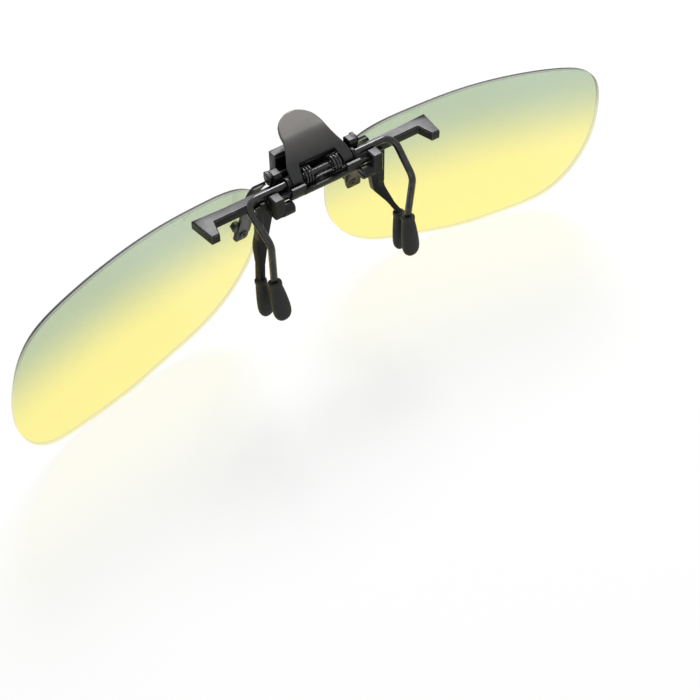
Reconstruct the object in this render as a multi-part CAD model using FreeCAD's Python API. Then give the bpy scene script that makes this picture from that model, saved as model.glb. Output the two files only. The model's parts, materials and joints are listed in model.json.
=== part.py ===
"""Clip on flip lenses for spectacles: a sprung clamp and a pair of tinted lenses that flip up.

Millimetres. X runs across the face (the wearer's left is +X), -Y is the side the wearer looks
towards, and +Z is up. The origin is on the mid-plane, level with the underside of the two support
bars, 2.6 mm in front of the clamp's axle. One STEP file is written per sub-part.
"""
import FreeCAD, Part
import math
import os

from FreeCAD import Vector

# --- support bars, which lie along the top of the spectacles -------------------------------------
BAR_HALF_SPAN = 28.0          # mid-plane to the outer end of a bar
BAR_THICKNESS = 2.0
BAR_FRONT_Y = -0.1
BAR_CORNER_Y = -0.4           # front corner at the hook
BAR_WIDTH = 2.45
BAR_EDGE_BEVEL = 0.25
BAR_FLARE_LENGTH = 7.0        # length over which the front edge runs out to the hook's corner
HOOK_TIP_Y = 5.9
HOOK_ROOT_WIDTH = 3.6
HOOK_TIP_WIDTH = 1.9
HOOK_TIP_INSET = 0.7          # how far the hook's outer side leans in

# --- stamped bracket ------------------------------------------------------------------------------
SHEET = 0.7                   # sheet thickness of the bracket
FLOOR_REAR_Y = 4.2
EAR_SIDE_GAP = 0.25           # between the lever and the ears that carry the axle
EAR_RADIUS = 1.3
WING_OUTER_X = 13.0           # where a wing ends and its bar takes over
WING_REAR_Y = 3.7
TONGUE_LENGTH = 4.0           # the bar's tongue under the wing
TONGUE_SIDE_STEP = 0.2

# --- clamp: axle wire, its bent legs and their rubber tips ---------------------------------------
AXLE_Y = 2.6
AXLE_Z = 3.1
WIRE_DIAMETER = 1.5
WIRE_RUNNING_GAP = 0.06       # radial clearance of the wire in the ears
WIRE_CORNER_X = 17.9
WIRE_KNEE = (17.05, 10.5, -2.3)
WIRE_TIP_TOP = (16.45, 9.9, -12.8)
WIRE_END = (16.1, 11.55, -19.25)
WIRE_CORNER_BEND = 2.6
WIRE_BEND_CHORDS = 3
WIRE_KNEE_BEND = 2.4

# --- thumb lever ----------------------------------------------------------------------------------
LEVER_SHEET = 0.8
LEVER_HALF_WIDTH = 7.2        # at the rolled knuckles
LEVER_ROOT_OFFSET = 0.9       # from the axle's centre back to the middle of the sheet
LEVER_BEND_RUN = (-4.8, 5.3)  # from the axle to the bend, forward and up
LEVER_TIP_RUN = (-5.7, 2.05)  # from the bend to the tip
LEVER_BEND_RADIUS = 6.0
LEVER_PAD_RADIUS = 4.95       # the round thumb pad
LEVER_SIDE = ((6.5, 3.3), (5.4, 5.9))   # half widths on the way up to the pad
KNUCKLE_RADIUS = 1.4
NOTCH_HALF_WIDTH = 4.8        # notch that the spring sits in
NOTCH_RADIUS = 2.4            # from the axle's centre
NOTCH_CORNER = 1.0

# --- double torsion spring ------------------------------------------------------------------------
SPRING_WIRE = 0.42
SPRING_WIRE_SIDES = 6         # the wire is drawn six-sided
SPRING_TURN_CHORDS = 10       # and each turn as a ring of chords
SPRING_COIL_RADIUS = 1.65     # to the middle of the wire
SPRING_WHOLE_TURNS = 3
SPRING_PITCH = 0.56
SPRING_INNER_X = 2.55         # inner end of each coil
SPRING_SEAT_GAP = 0.02        # between the spring's bridge and the bracket's rear lip
SPRING_TANG = 0.5             # length of the outer end hooked into the lever

# --- flip hinge -----------------------------------------------------------------------------------
FLIP_Y = -0.35
FLIP_Z = 3.45
FLIP_PIN_DIAMETER = 1.0
PIN_RUNNING_GAP = 0.05
FLIP_EAR_GAP = 0.05           # between an axle ear and a flip ear
FLIP_EAR_WIDTH = 1.65
FLIP_EAR_FRONT_Y = -1.15
FLIP_EAR_REAR_Y = 1.55
FLIP_EAR_HEIGHT = 3.15
FLIP_EAR_BEVEL = 0.5
FIN_GAP = 0.05                # between a flip ear and the fin of a lens arm
FIN_THICKNESS = 0.6
FIN_RADIUS = 1.1
PIN_HEAD_DIAMETER = 1.7
PIN_HEAD_HEIGHT = 0.35
CAM_FLAT = 0.62               # axle centre to a flat of the square cam
CAM_CORNER = 0.72
CAM_HALF_LENGTH = 1.9
LEAF_GAP = 0.05               # leaf spring to the cam's corners
LEAF_SHEET = 0.25
LEAF_HALF_WIDTH = 1.6

# --- housing over the leaf spring -----------------------------------------------------------------
HOUSING_HALF_WIDTH = 6.8
HOUSING_FRONT_Y = -5.4
HOUSING_REAR_Y = -3.0
HOUSING_TOP_Z = 5.6
HOUSING_WALL = 0.6
HOUSING_ROUND = 0.3
HOUSING_REAR_CHAMFER = 0.5

# --- front legs, their blocks and screws ----------------------------------------------------------
BLOCK_INNER_X = 10.9
BLOCK_OUTER_X = 12.65
BLOCK_REAR_Y = 6.1
BLOCK_TOP_Z = 3.2
BLOCK_BOTTOM_Z = -1.4
BLOCK_BEVEL = 0.2
SCREW_HEAD_RADIUS = 1.2
SCREW_HEAD_LENGTH = 2.6
SCREW_HEAD_BEVEL = 0.25
SCREW_SHANK_RADIUS = 0.5
SCREW_SLOT = 0.35
SCREW_RISE = 0.75             # from the bottom of the block to the screw's centre
LEG_REAR_Y = 3.2
LEG_THICKNESS = 1.5
LEG_TANG = 0.7                # thickness where the leg passes behind the bar
LEG_TANG_Z = -2.1             # bottom of that thin part
LEG_HALF_WIDTH = 1.35
LEG_END_HALF_WIDTH = 0.6
LEG_KNEE_Z = -9.3             # where the leg turns back under the rim
LEG_FOOT_Z = -14.6            # where it turns down again
LEG_END_Z = -20.5
LEG_TAPER = 3.0               # height over which the leg narrows below the knee
LEG_FOOT_Y = 5.9
LEG_END_Y = 6.8
LEG_END_X = 17.0
LEG_TOP_X = 12.9
LEG_KNEE_X = 14.5
LEG_FOOT_X = 17.2
LEG_BEND_RADIUS = 2.2

# --- rubber tips ----------------------------------------------------------------------------------
TIP_LENGTH = 9.4
TIP_TOP_WIDTH = 2.3
TIP_WIDTH = 3.9
TIP_THICKNESS = 2.4
TIP_COLLAR = 1.2
TIP_BEVEL = 0.6
FRONT_TIP_SCALE = 0.88        # the front tips are a little slimmer than the rear ones

# --- lenses ---------------------------------------------------------------------------------------
LENS_THICKNESS = 1.1
LENS_RADIUS = 286.0           # sphere of the rear surface
LENS_CENTRE_X = -17.7
LENS_SCREW_X = 13.75
LENS_SCREW_Y = -6.35          # rear surface at the screw
LENS_SCREW_Z = -12.7
LENS_TILT = 11.2              # degrees that the screw lies below the sphere's level centre line
LENS_TOP_Z = 4.7
LENS_BOTTOM_Z = -41.3
LENS_INNER_X = 8.5
LENS_ARCS = 10                # arcs that make up the outline
LENS_OUTER_X = 71.4

# --- lens arms and hardware -----------------------------------------------------------------------
ARM_THICKNESS = 0.8
ARM_TOP_WIDTH = 1.9
ARM_FOOT_WIDTH = 3.2
ARM_UPPER_PLACES = ((0.0, 3.9), (1.54, 3.4), (3.08, 1.5))  # out from the fin, height
ARM_LOWER_PLACES = ((0.0, -3.6), (-0.1155, -8.5))          # out from the screw, height
ARM_ARCS = 3                  # arcs along each side of the strip
TAB_CORNERS = ((-1.1, -1.9), (2.1, -1.4), (1.5, 3.6), (-2.1, 3.2))   # from the screw
TAB_ROUND = 0.6
TAB_TOE_OFFSET = (1.9, 3.1)   # from the screw to the small lobe, outward and up
TAB_TOE_RADIUS = 0.95
LENS_SCREW_RADIUS = 0.5
LENS_HOLE_GAP = 0.1
HEAD_ROOM = 0.1               # round the heads of the flip pin and the lens screws
LENS_SCREW_HEAD_RADIUS = 0.9
LENS_SCREW_HEAD_HEIGHT = 0.25
LENS_SCREW_SOCKET = 0.35      # radius and depth of the round socket in the head
WASHER_RADIUS = 1.3
WASHER_THICKNESS = 0.25
NUT_ACROSS_FLATS = 2.0
NUT_HEIGHT = 0.9

# --- derived places -------------------------------------------------------------------------------
WIRE_RADIUS = WIRE_DIAMETER / 2
FLIP_PIN_RADIUS = FLIP_PIN_DIAMETER / 2
BAR_REAR_Y = BAR_FRONT_Y + BAR_WIDTH
WING_BOTTOM_Z = BAR_THICKNESS - SHEET
EAR_INNER_X = LEVER_HALF_WIDTH + EAR_SIDE_GAP
EAR_OUTER_X = EAR_INNER_X + SHEET
FLIP_EAR_INNER_X = EAR_OUTER_X + FLIP_EAR_GAP
FOOT_OUTER_X = FLIP_EAR_INNER_X + FLIP_EAR_WIDTH
TONGUE_INNER_X = WING_OUTER_X - TONGUE_LENGTH
LIP_TOP_Z = AXLE_Z - SPRING_COIL_RADIUS - SPRING_WIRE / 2 - SPRING_SEAT_GAP
LIP_FRONT_Y = FLOOR_REAR_Y - SHEET
FIN_INNER_X = FOOT_OUTER_X + FIN_GAP
FIN_OUTER_X = FIN_INNER_X + FIN_THICKNESS
LENS_CENTRE_Z = LENS_SCREW_Z - LENS_RADIUS * math.sin(math.radians(LENS_TILT))
LENS_CENTRE_Y = LENS_SCREW_Y + math.sqrt(
    LENS_RADIUS ** 2 - (LENS_SCREW_X - LENS_CENTRE_X) ** 2 - (LENS_SCREW_Z - LENS_CENTRE_Z) ** 2)
LENS_CENTRE = Vector(LENS_CENTRE_X, LENS_CENTRE_Y, LENS_CENTRE_Z)


# --- helpers --------------------------------------------------------------------------------------
def block(x0, x1, y0, y1, z0, z1):
    """Box between two opposite corners."""
    return Part.makeBox(x1 - x0, y1 - y0, z1 - z0, Vector(x0, y0, z0))


def rod(start, end, radius):
    """Cylinder from one point to another."""
    axis = end - start
    return Part.makeCylinder(radius, axis.Length, start, axis)


def rod_x(x0, x1, y, z, radius):
    """Cylinder along X."""
    return rod(Vector(x0, y, z), Vector(x1, y, z), radius)


def prism(points, direction):
    """Straight-sided outline through the points, extruded."""
    return Part.Face(Part.makePolygon(points + points[:1])).extrude(direction)


def outline_xy(points, z0, z1):
    return prism([Vector(x, y, z0) for x, y in points], Vector(0, 0, z1 - z0))


def outline_yz(points, x0, x1):
    return prism([Vector(x0, y, z) for y, z in points], Vector(x1 - x0, 0, 0))


def outline_xz(points, y0, y1):
    return prism([Vector(x, y0, z) for x, z in points], Vector(0, y1 - y0, 0))


def mirrored(shape):
    """The same shape on the other side of the mid-plane."""
    return shape.mirror(Vector(0, 0, 0), Vector(1, 0, 0))


def joined(shapes):
    """One solid from touching shapes, with the seams between their faces removed."""
    whole = shapes[0].fuse(shapes[1:]) if len(shapes) > 1 else shapes[0]
    return whole.removeSplitter()


def edges_along(shape, direction, where):
    """Straight edges parallel to a direction whose middle passes the test."""
    chosen = []
    for edge in shape.Edges:
        if len(edge.Vertexes) < 2:
            continue
        run = edge.Vertexes[-1].Point - edge.Vertexes[0].Point
        if run.Length > 1e-6 and run.cross(direction).Length < 1e-6 * run.Length:
            if where(edge.CenterOfMass):
                chosen.append(edge)
    return chosen


def bent_path(points, bends, chords=0):
    """Straight runs through the points, joined by tangent arcs of the given radii, or by that many
    chords of each arc."""
    edges = []
    here = points[0]
    for corner, following, radius in zip(points[1:-1], points[2:], bends):
        back = (here - corner).normalize()
        ahead = (following - corner).normalize()
        half = math.acos(max(-1.0, min(1.0, back.dot(ahead)))) / 2
        setback = radius / math.tan(half)
        start = corner + back * setback
        end = corner + ahead * setback
        bisector = (back + ahead).normalize()
        middle = corner + bisector * (radius / math.sin(half) - radius)
        edges.append(Part.LineSegment(here, start).toShape())
        arc = Part.Arc(start, middle, end)
        if chords:
            stations = arc.discretize(chords + 1)
            for first, second in zip(stations[:-1], stations[1:]):
                edges.append(Part.LineSegment(first, second).toShape())
        else:
            edges.append(arc.toShape())
        here = end
    edges.append(Part.LineSegment(here, points[-1]).toShape())
    return Part.Wire(edges)


def swept(path, section):
    """Solid swept by a closed section along a path of straight runs, mitred at its corners."""
    return path.makePipeShell([section], True, False, 1)


def bent_strip(points, bends, thickness, x0, x1):
    """Sheet strip: a side view in the YZ plane with rounded bends, extruded along X."""
    path = bent_path([Vector(x0, y, z) for y, z in points], bends)
    sides = []
    for offset in (thickness / 2, -thickness / 2):
        edges = []
        for edge in path.Edges:
            edges.append(offset_edge(edge, offset))
        sides.append(edges)
    first, second = sides
    start_cap = Part.LineSegment(end_of(first[0], 0), end_of(second[0], 0)).toShape()
    end_cap = Part.LineSegment(end_of(first[-1], 1), end_of(second[-1], 1)).toShape()
    ring = Part.Wire(Part.__sortEdges__(first + [end_cap] + second + [start_cap]))
    return Part.Face(ring).extrude(Vector(x1 - x0, 0, 0))


def end_of(edge, which):
    """Start (0) or end (1) point of an edge, in its own direction."""
    return edge.valueAt(edge.LastParameter if which else edge.FirstParameter)


def offset_edge(edge, offset):
    """Line or arc in the YZ plane moved sideways by a distance."""
    points = []
    for share in (0.0, 0.5, 1.0):
        place = edge.FirstParameter + share * (edge.LastParameter - edge.FirstParameter)
        heading = edge.tangentAt(place)
        side = Vector(0, -heading.z, heading.y).normalize()
        points.append(edge.valueAt(place) + side * offset)
    if edge.Curve.TypeId == "Part::GeomLine":
        return Part.LineSegment(points[0], points[2]).toShape()
    return Part.Arc(*points).toShape()


# --- base: bars, bracket and ears -----------------------------------------------------------------
def make_support_bar():
    """Flat bar with a tongue at its inner end and a hook turned back at its outer end."""
    outer = BAR_HALF_SPAN
    root = outer - HOOK_ROOT_WIDTH
    tip_out = outer - HOOK_TIP_INSET
    bar = outline_xy([
        (WING_OUTER_X, BAR_FRONT_Y),
        (outer - BAR_FLARE_LENGTH, BAR_FRONT_Y),
        (outer, BAR_CORNER_Y),
        (tip_out, HOOK_TIP_Y),
        (tip_out - HOOK_TIP_WIDTH, HOOK_TIP_Y),
        (root, BAR_REAR_Y),
        (WING_OUTER_X, BAR_REAR_Y)], 0.0, BAR_THICKNESS)
    rims = [edge for edge in bar.Edges if edge.CenterOfMass.z > BAR_THICKNESS - 1e-6
            and edge.CenterOfMass.x > WING_OUTER_X + 1e-6]
    bar = bar.makeChamfer(BAR_EDGE_BEVEL, rims)
    tongue = block(TONGUE_INNER_X, WING_OUTER_X, BAR_FRONT_Y + TONGUE_SIDE_STEP,
                   BAR_REAR_Y - TONGUE_SIDE_STEP, 0.0, WING_BOTTOM_Z)
    return joined([bar, tongue])


def make_bracket_side():
    """Ear for the clamp axle with the wing that folds out from it."""
    ear = joined([
        rod_x(EAR_INNER_X, EAR_OUTER_X, AXLE_Y, AXLE_Z, EAR_RADIUS),
        block(EAR_INNER_X, EAR_OUTER_X, AXLE_Y - EAR_RADIUS, AXLE_Y + EAR_RADIUS, 0.0, AXLE_Z),
        block(EAR_INNER_X, EAR_OUTER_X, FLIP_EAR_FRONT_Y, FLOOR_REAR_Y, 0.0, BAR_THICKNESS)])
    wing = outline_xy([
        (EAR_OUTER_X, FLIP_EAR_FRONT_Y),
        (FOOT_OUTER_X, FLIP_EAR_FRONT_Y),
        (FOOT_OUTER_X, BAR_FRONT_Y),
        (WING_OUTER_X, BAR_FRONT_Y),
        (WING_OUTER_X, WING_REAR_Y),
        (EAR_OUTER_X, WING_REAR_Y)], WING_BOTTOM_Z, BAR_THICKNESS)
    return joined([ear, wing])


def make_base_bracket():
    """Stamped channel: floor, rear lip, two ears and two wings, in one piece of sheet."""
    floor = block(-EAR_OUTER_X, EAR_OUTER_X, HOUSING_FRONT_Y, FLOOR_REAR_Y, 0.0, SHEET)
    lip = block(-EAR_OUTER_X, EAR_OUTER_X, LIP_FRONT_Y, FLOOR_REAR_Y, 0.0, LIP_TOP_Z)
    side = make_bracket_side()
    bracket = joined([floor, lip, side, mirrored(side)])
    rear_fold = edges_along(bracket, Vector(1, 0, 0), lambda middle: middle.z < 1e-6
                            and middle.y > FLOOR_REAR_Y - 1e-6)
    bracket = bracket.makeFillet(SHEET * 0.8, rear_fold)
    bore = rod_x(-WING_OUTER_X, WING_OUTER_X, AXLE_Y, AXLE_Z, WIRE_RADIUS + WIRE_RUNNING_GAP)
    return bracket.cut(bore)


def make_flip_ear():
    """Square lug, bevelled along the top, that the flip pin turns in."""
    top = BAR_THICKNESS + FLIP_EAR_HEIGHT
    lug = block(FLIP_EAR_INNER_X, FOOT_OUTER_X, FLIP_EAR_FRONT_Y, FLIP_EAR_REAR_Y,
                BAR_THICKNESS, top)
    rims = edges_along(lug, Vector(1, 0, 0), lambda middle: middle.z > top - 1e-6)
    lug = lug.makeChamfer(FLIP_EAR_BEVEL, rims)
    bore = rod_x(0, WING_OUTER_X, FLIP_Y, FLIP_Z, FLIP_PIN_RADIUS + PIN_RUNNING_GAP)
    return lug.cut(bore)


def make_detent_housing():
    """Folded cover, open at the back and below, standing on the front of the bracket's floor."""
    cover = block(-HOUSING_HALF_WIDTH, HOUSING_HALF_WIDTH, HOUSING_FRONT_Y, HOUSING_REAR_Y,
                  SHEET, HOUSING_TOP_Z)
    front_rims = edges_along(cover, Vector(1, 0, 0), lambda middle: middle.z > HOUSING_TOP_Z - 1e-6
                             and middle.y < HOUSING_FRONT_Y + 1e-6)
    ends = edges_along(cover, Vector(0, 0, 1), lambda middle: middle.y < HOUSING_FRONT_Y + 1e-6)
    cover = cover.makeFillet(HOUSING_ROUND, front_rims + ends)
    rear_rims = edges_along(cover, Vector(1, 0, 0), lambda middle: middle.z > HOUSING_TOP_Z - 1e-6
                            and middle.y > HOUSING_REAR_Y - 1e-6)
    cover = cover.makeChamfer(HOUSING_REAR_CHAMFER, rear_rims)
    inside = block(-HOUSING_HALF_WIDTH + HOUSING_WALL, HOUSING_HALF_WIDTH - HOUSING_WALL,
                   HOUSING_FRONT_Y + HOUSING_WALL, HOUSING_REAR_Y, 0.0,
                   HOUSING_TOP_Z - HOUSING_REAR_CHAMFER - HOUSING_WALL)
    return cover.cut(inside)


def make_detent_spring():
    """Leaf spring: a foot on the floor inside the housing and a blade that bears on the cam."""
    blade_y = FLIP_Y - CAM_CORNER - LEAF_GAP - LEAF_SHEET / 2
    foot_z = SHEET + LEAF_SHEET / 2
    points = [
        (HOUSING_FRONT_Y + HOUSING_WALL, foot_z),
        (blade_y, foot_z),
        (blade_y, FLIP_Z + CAM_FLAT),
        (blade_y - 0.6, FLIP_Z + CAM_FLAT + 0.8)]
    return bent_strip(points, [0.5, 0.5], LEAF_SHEET, -LEAF_HALF_WIDTH, LEAF_HALF_WIDTH)


def make_leg_block():
    """Small rounded block behind the wing that clamps the top of a front leg."""
    body = block(BLOCK_INNER_X, BLOCK_OUTER_X, WING_REAR_Y, BLOCK_REAR_Y,
                 BLOCK_BOTTOM_Z, BLOCK_TOP_Z)
    rims = [edge for edge in body.Edges if edge.CenterOfMass.y > WING_REAR_Y + 0.1]
    body = body.makeChamfer(BLOCK_BEVEL, rims)
    return body.cut(rod_x(0, BAR_HALF_SPAN, screw_y(), screw_z(), SCREW_SHANK_RADIUS))


def screw_y():
    """Centre of the leg screw, flush with the back of its block."""
    return BLOCK_REAR_Y - SCREW_HEAD_RADIUS


def screw_z():
    """Centre of the leg screw, low in its block."""
    return BLOCK_BOTTOM_Z + SCREW_RISE


def make_leg_screw():
    """Cheese-head screw through the block, with a slot across its inner end."""
    head_end = BLOCK_INNER_X - SCREW_HEAD_LENGTH
    head = rod_x(head_end, BLOCK_INNER_X, screw_y(), screw_z(), SCREW_HEAD_RADIUS)
    rims = [edge for edge in head.Edges if edge.Length > SCREW_HEAD_RADIUS * 5
            and edge.CenterOfMass.x < head_end + 0.1]
    head = head.makeChamfer(SCREW_HEAD_BEVEL, rims)
    slot = block(head_end - 1, head_end + SCREW_SLOT, screw_y() - 2, screw_y() + 2,
                 screw_z() - SCREW_SLOT / 2, screw_z() + SCREW_SLOT / 2)
    shank = rod_x(BLOCK_INNER_X, BLOCK_OUTER_X, screw_y(), screw_z(), SCREW_SHANK_RADIUS)
    return joined([head.cut(slot), shank])


def make_front_leg():
    """Flat bar down the front of the rim, stepping back under it and narrowing to its end."""
    centre_y = LEG_REAR_Y - LEG_THICKNESS / 2
    side_view = bent_strip([
        (centre_y, WING_BOTTOM_Z),
        (centre_y - 0.4, LEG_KNEE_Z),
        (LEG_FOOT_Y, LEG_FOOT_Z),
        (LEG_END_Y, LEG_END_Z)], [LEG_BEND_RADIUS, LEG_BEND_RADIUS], LEG_THICKNESS, 0.0, BAR_HALF_SPAN)
    level = BLOCK_BOTTOM_Z
    taper_z = LEG_KNEE_Z - LEG_TAPER
    lean = (LEG_FOOT_X - LEG_KNEE_X) / (LEG_KNEE_Z - LEG_FOOT_Z)
    centres = [
        (WING_BOTTOM_Z, LEG_TOP_X, LEG_HALF_WIDTH),
        (level, LEG_TOP_X, LEG_HALF_WIDTH),
        (LEG_KNEE_Z, LEG_KNEE_X, LEG_HALF_WIDTH),
        (taper_z, LEG_KNEE_X + lean * LEG_TAPER, LEG_END_HALF_WIDTH),
        (LEG_FOOT_Z, LEG_FOOT_X, LEG_END_HALF_WIDTH),
        (LEG_END_Z, LEG_END_X, LEG_END_HALF_WIDTH)]
    right = [(x + half, z) for z, x, half in centres]
    left = [(x - half, z) for z, x, half in reversed(centres)]
    front_view = outline_xz(right + left, -BAR_HALF_SPAN, BAR_HALF_SPAN)
    room = block(0.0, BAR_HALF_SPAN, 0.0, LEG_REAR_Y - LEG_TANG, LEG_TANG_Z, BAR_THICKNESS)
    return side_view.common(front_view).cut(room)


def make_tip(top, bottom, scale):
    """Flattened rubber sleeve: a collar, sides that widen and a round end, with bevelled rims."""
    line = bottom - top
    collar = scale * TIP_TOP_WIDTH / 2
    bulb = scale * TIP_WIDTH / 2
    half = scale * TIP_THICKNESS / 2
    widest_z = bulb - line.Length
    sides = [Vector(bulb, -half, widest_z), Vector(collar, -half, -TIP_COLLAR),
             Vector(collar, -half, 0), Vector(-collar, -half, 0),
             Vector(-collar, -half, -TIP_COLLAR), Vector(-bulb, -half, widest_z)]
    end = Part.Arc(sides[-1], Vector(0, -half, -line.Length), sides[0]).toShape()
    outline = Part.Wire(Part.makePolygon(sides).Edges + [end])
    tip = Part.Face(outline).extrude(Vector(0, 2 * half, 0))
    rims = [edge for edge in tip.Edges if abs(edge.CenterOfMass.y) > half - 1e-6
            and edge.CenterOfMass.z < -1e-6]
    tip = tip.makeChamfer(TIP_BEVEL, rims)
    tip.Placement = FreeCAD.Placement(top, FreeCAD.Rotation(Vector(0, 0, -1), line))
    return tip


def make_front_tip(leg):
    foot = Vector(LEG_FOOT_X, LEG_FOOT_Y, LEG_FOOT_Z)
    heading = (Vector(LEG_END_X, LEG_END_Y, LEG_END_Z) - foot).normalize()
    return make_tip(foot, foot + heading * TIP_LENGTH, FRONT_TIP_SCALE).cut(leg)


# --- clamp: wire, lever and tips ------------------------------------------------------------------
def wire_points():
    """Corners of one half of the clamp wire, from the mid-plane outward."""
    return [Vector(WIRE_CORNER_X, AXLE_Y, AXLE_Z), Vector(*WIRE_KNEE), Vector(*WIRE_TIP_TOP),
            Vector(*WIRE_END)]


def make_clamp_wire():
    """One bent wire: axle across the middle, a bend at each end, and two legs going down."""
    half = wire_points()
    other = [Vector(-point.x, point.y, point.z) for point in half]
    bends = [WIRE_CORNER_BEND, WIRE_KNEE_BEND, WIRE_KNEE_BEND]
    path = bent_path(other[::-1] + half, bends[:0:-1] + [bends[0], bends[0]] + bends[1:],
                     WIRE_BEND_CHORDS)
    heading = path.Edges[0].tangentAt(path.Edges[0].FirstParameter)
    return swept(path, Part.Wire(Part.makeCircle(WIRE_RADIUS, other[-1], heading)))


def make_rear_tip(wire):
    top = Vector(*WIRE_TIP_TOP) + Vector(0, 0, 0.3)
    heading = (Vector(*WIRE_END) - Vector(*WIRE_TIP_TOP)).normalize()
    return make_tip(top, top + heading * TIP_LENGTH, 1.0).cut(wire)


def lever_outline(place, length):
    """Closed outline of the lever in its own plane: flared sides below a round pad."""
    pad_centre = length - LEVER_PAD_RADIUS
    sides = []
    for sign in (1, -1):
        shoulder = place(sign * LEVER_HALF_WIDTH, 0.0)
        stations = [shoulder] + [place(sign * half, along) for half, along in LEVER_SIDE]
        stations.append(place(sign * LEVER_PAD_RADIUS, pad_centre))
        curve = Part.BSplineCurve()
        curve.interpolate(stations)
        foot = place(sign * LEVER_HALF_WIDTH, -KNUCKLE_RADIUS)
        sides.append([Part.LineSegment(foot, shoulder).toShape(), curve.toShape()])
    base = Part.LineSegment(place(LEVER_HALF_WIDTH, -KNUCKLE_RADIUS),
                            place(-LEVER_HALF_WIDTH, -KNUCKLE_RADIUS)).toShape()
    pad = Part.Arc(place(LEVER_PAD_RADIUS, pad_centre), place(0, length),
                   place(-LEVER_PAD_RADIUS, pad_centre)).toShape()
    return Part.Wire(Part.__sortEdges__(sides[0] + sides[1] + [base, pad]))


def make_thumb_lever(wire, spring):
    """Bent paddle with a round pad, rolled round the axle on both sides of the spring's notch."""
    bend_y = AXLE_Y + LEVER_BEND_RUN[0]
    bend_z = AXLE_Z + LEVER_BEND_RUN[1]
    tip_y = bend_y + LEVER_TIP_RUN[0]
    tip_z = bend_z + LEVER_TIP_RUN[1]
    rise = math.hypot(*LEVER_BEND_RUN)
    root_y = AXLE_Y + LEVER_ROOT_OFFSET * LEVER_BEND_RUN[1] / rise
    root_z = AXLE_Z - LEVER_ROOT_OFFSET * LEVER_BEND_RUN[0] / rise
    sheet = bent_strip([(root_y, root_z), (bend_y, bend_z), (tip_y, tip_z)],
                       [LEVER_BEND_RADIUS], LEVER_SHEET, -LEVER_HALF_WIDTH, LEVER_HALF_WIDTH)
    chord = Vector(0, tip_y - AXLE_Y, tip_z - AXLE_Z)
    length = chord.Length
    along = Vector(chord).normalize()
    normal = along.cross(Vector(1, 0, 0))
    origin = Vector(0, AXLE_Y, AXLE_Z) - normal * length

    def place(x, distance):
        return origin + Vector(x, 0, 0) + along * distance

    paddle = Part.Face(lever_outline(place, length)).extrude(normal * length * 2)
    knuckle = rod_x(-LEVER_HALF_WIDTH, LEVER_HALF_WIDTH, AXLE_Y, AXLE_Z, KNUCKLE_RADIUS)
    lever = sheet.common(paddle).fuse(knuckle)
    notch = rod_x(-NOTCH_HALF_WIDTH, NOTCH_HALF_WIDTH, AXLE_Y, AXLE_Z, NOTCH_RADIUS)
    notch = notch.makeChamfer(NOTCH_CORNER, [edge for edge in notch.Edges
                                             if edge.Length > NOTCH_RADIUS * 5])
    sleeve = rod_x(-NOTCH_HALF_WIDTH, NOTCH_HALF_WIDTH, AXLE_Y, AXLE_Z, KNUCKLE_RADIUS)
    return lever.cut([notch, sleeve, wire, spring])


def spring_points():
    """Corners of one half of the spring, outward from the mid-plane: bridge, coil and hooked end."""
    lever_angle = math.atan2(LEVER_BEND_RUN[1], LEVER_BEND_RUN[0])
    lever_angle -= math.asin(LEVER_ROOT_OFFSET / SPRING_COIL_RADIUS)
    turns = SPRING_WHOLE_TURNS + 0.75 - lever_angle / (2 * math.pi)
    chords = math.ceil(turns * SPRING_TURN_CHORDS)
    coil = []
    for step in range(chords + 1):
        angle = -math.pi / 2 - 2 * math.pi * turns * step / chords
        coil.append(Vector(SPRING_INNER_X + SPRING_PITCH * turns * step / chords,
                           AXLE_Y + SPRING_COIL_RADIUS * math.cos(angle),
                           AXLE_Z + SPRING_COIL_RADIUS * math.sin(angle)))
    bridge_y = LIP_FRONT_Y + SHEET / 2
    bridge = [Vector(0, bridge_y, coil[0].z), Vector(SPRING_INNER_X, bridge_y, coil[0].z)]
    return bridge + coil + [coil[-1] + Vector(SPRING_TANG, 0, 0)]


def make_torsion_spring():
    """Two coils round the axle, joined by a bridge on the bracket's rear lip; the outer end of
    each coil is hooked sideways into the lever. The wire is drawn many-sided and in chords."""
    points = spring_points()
    ring = []
    for index in range(SPRING_WIRE_SIDES):
        angle = 2 * math.pi * index / SPRING_WIRE_SIDES
        ring.append(points[0] + Vector(0, math.cos(angle), math.sin(angle)) * (SPRING_WIRE / 2))
    half = swept(Part.makePolygon(points), Part.makePolygon(ring + ring[:1]))
    return joined([half, mirrored(half)])


# --- flip: pin, cam, arms and lenses --------------------------------------------------------------
def make_flip_pin():
    """Pin through both ears and both fins, headed over at each end."""
    end = FIN_OUTER_X
    pin = rod_x(-end, end, FLIP_Y, FLIP_Z, FLIP_PIN_RADIUS)
    heads = [rod_x(end, end + PIN_HEAD_HEIGHT, FLIP_Y, FLIP_Z, PIN_HEAD_DIAMETER / 2),
             rod_x(-end - PIN_HEAD_HEIGHT, -end, FLIP_Y, FLIP_Z, PIN_HEAD_DIAMETER / 2)]
    return joined([pin] + heads)


def make_flip_cam():
    """Square cam with rounded corners on the middle of the pin."""
    flat = block(-CAM_HALF_LENGTH, CAM_HALF_LENGTH, FLIP_Y - CAM_FLAT, FLIP_Y + CAM_FLAT,
                 FLIP_Z - CAM_FLAT, FLIP_Z + CAM_FLAT)
    cam = flat.common(rod_x(-CAM_HALF_LENGTH, CAM_HALF_LENGTH, FLIP_Y, FLIP_Z, CAM_CORNER))
    return cam.cut(rod_x(-WING_OUTER_X, WING_OUTER_X, FLIP_Y, FLIP_Z, FLIP_PIN_RADIUS))


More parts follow.
